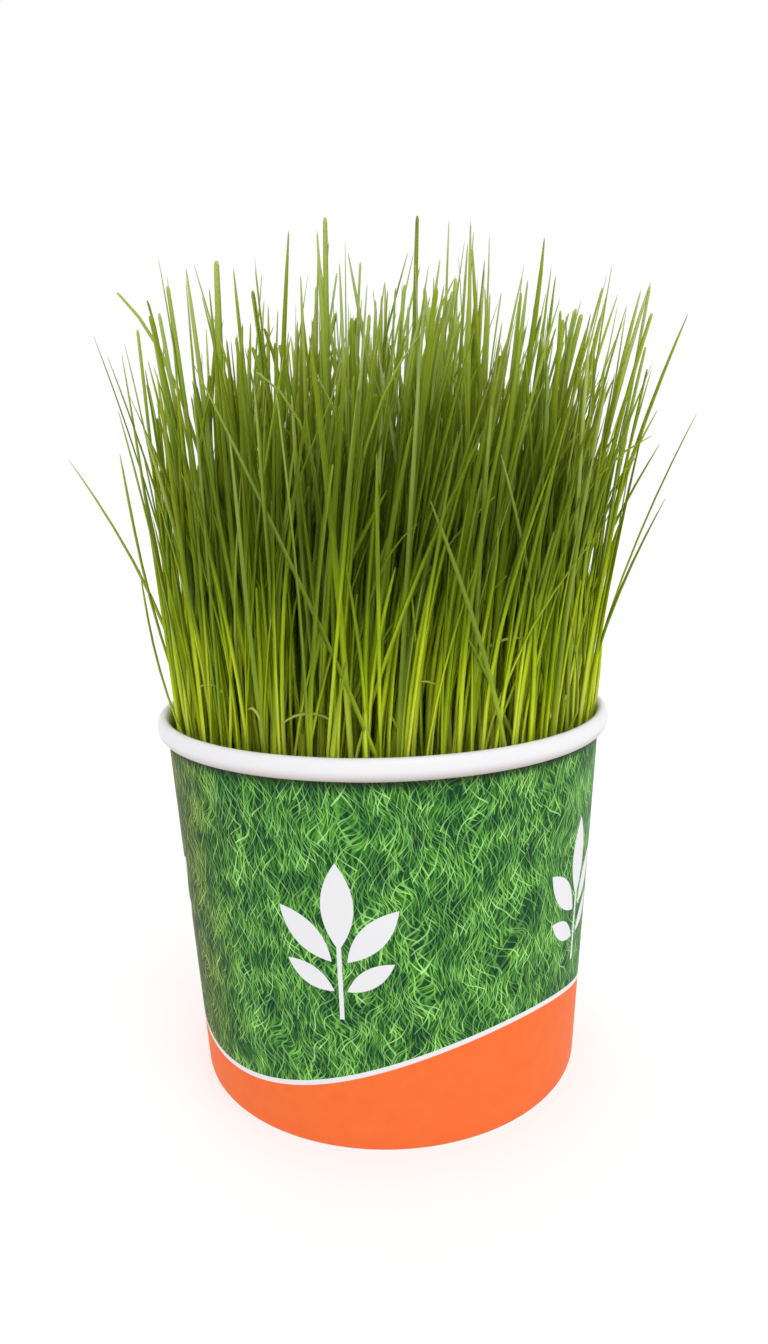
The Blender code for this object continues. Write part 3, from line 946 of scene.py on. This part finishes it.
# Fallen blades: pale ones that lean far to one side and lie across the outside of the tuft. Each
# row has the azimuths of root and tip in degrees and the tip's distance from the axis and height.
FALLEN = (
    (-88, -126, 0.0500, 0.1440),
    (-103, -97, 0.0470, 0.0960),
    (-58, -80, 0.0480, 0.1210),
    (-36, -46, 0.0480, 0.1010),
    (12, -16, 0.0510, 0.1290),
    (44, 60, 0.0500, 0.1180),
    (83, 55, 0.0510, 0.1330),
    (118, 137, 0.0510, 0.1250),
    (150, 134, 0.0490, 0.1120),
    (171, 196, 0.0510, 0.1310),
    (214, 199, 0.0490, 0.1090),
)
FALLEN_FOOT = 0.0428
FALLEN_BOW = 0.0024
blades = []
for root_turn, tip_turn, reach, top in FALLEN:
    start, end = math.radians(root_turn), math.radians(tip_turn)
    middle = math.radians((root_turn + tip_turn) / 2)
    foot = (FALLEN_FOOT * math.cos(start), FALLEN_FOOT * math.sin(start))
    blades.append(
        {
            "root": (*foot, MAT_TOP - ROOT_DEPTH),
            "tip": (reach * math.cos(end), reach * math.sin(end), top),
            "width": draw.uniform(0.0008, 0.0010),
            "thickness": 0.0003,
            "facing": middle + math.pi / 2,
            "twist": draw.uniform(-0.8, 0.8),
            "sway": (FALLEN_BOW * math.cos(middle), FALLEN_BOW * math.sin(middle)),
            "hook": (0.0, 0.0),
            "blunt": False,
            "tone": draw.uniform(0.84, 0.93),
            "bend": 1.25,
        }
    )
grown("fallen_blades", blades)


# Shreds: short pale side leaves and sheath ends, thin and curled, that come off the outer blades
# near the foot of the tuft and lie along its side.
SHREDS = 30
SHRED_THICKNESS = 0.00020
SHRED_REACH = 0.0425
OUTER_ROOTS = 0.037
ARC_STEPS = 60

shred_finish = Finish("dry_shred", roughness=0.7, specular_ior_level=0.2)
drawn_out = shred_finish.stretched(shred_finish.place(), (1, 1, 0.2))
streak = shred_finish.noise(drawn_out, 1500.0, detail=2.0)
tone = shred_finish.node("ShaderNodeAttribute", {"attribute_name": "tone"}, {})["Fac"]
straw = shred_finish.mix(tone, (0.28, 0.38, 0.03), (0.50, 0.54, 0.12))
shred_finish.set(Base_Color=shred_finish.mix(streak * 0.5, straw, (0.30, 0.30, 0.06)))
shred_finish.set(Roughness=streak * 0.2 + 0.6)
shred_finish.bump(streak, 0.00003)


def curled(template, start, heading, length, width, climb, curl, tilt):
    """The template's points on a short arc that leaves start along heading and curls over.

    The tilt turns the shred about its length, so that it shows its face.
    """
    shape = points_of(template)
    share = shape[:, 2]
    angle = climb - curl * share
    out = np.array((math.cos(heading), math.sin(heading), 0))
    steps = np.linspace(0, 1, ARC_STEPS)
    rise = np.interp(share, steps, np.cumsum(np.sin(climb - curl * steps)) / ARC_STEPS)
    run_out = np.interp(share, steps, np.cumsum(np.cos(climb - curl * steps)) / ARC_STEPS)
    middle = np.array(start) + (np.outer(run_out, out) + np.outer(rise, (0, 0, 1))) * length
    aside = np.array((-out[1], out[0], 0))
    normal = np.outer(-np.sin(angle), out) + np.outer(np.cos(angle), (0, 0, 1))
    lift = shape[:, 1] * SHRED_THICKNESS
    face = aside * math.cos(tilt) + normal * math.sin(tilt)
    back = normal * math.cos(tilt) - aside * math.sin(tilt)
    return middle + face * (shape[:, 0] * width)[:, None] + back * lift[:, None]


frames = []
edge = [pair for pair in standing if pair[0].xy.length > OUTER_ROOTS]
for k in range(SHREDS):
    root, tip = edge[(k * 37) % len(edge)]
    share = draw.uniform(0.10, 0.34)
    start = root + (tip - root) * share
    start.xy = root.xy + (tip - root).xy * share**BEND
    start.z = max(start.z, TUB_HEIGHT + draw.uniform(0.002, 0.006))
    start.xy *= min(1, SHRED_REACH / start.xy.length)
    side = draw.choice((-1, 1))
    heading = math.atan2(root.y, root.x) + side * draw.uniform(1.10, 1.45)
    length = draw.uniform(0.006, 0.011)
    climb, curl = draw.uniform(0.5, 1.3), draw.uniform(0.8, 1.9)
    width = draw.uniform(0.0005, 0.0008)
    tilt = side * draw.uniform(0.5, 1.0)
    frames.append(curled(pointed, start, heading, length, width, climb, curl, tilt))
shreds = strewn("shreds", pointed, frames, [draw.random() for _ in frames], shred_finish.material)
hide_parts("grass")
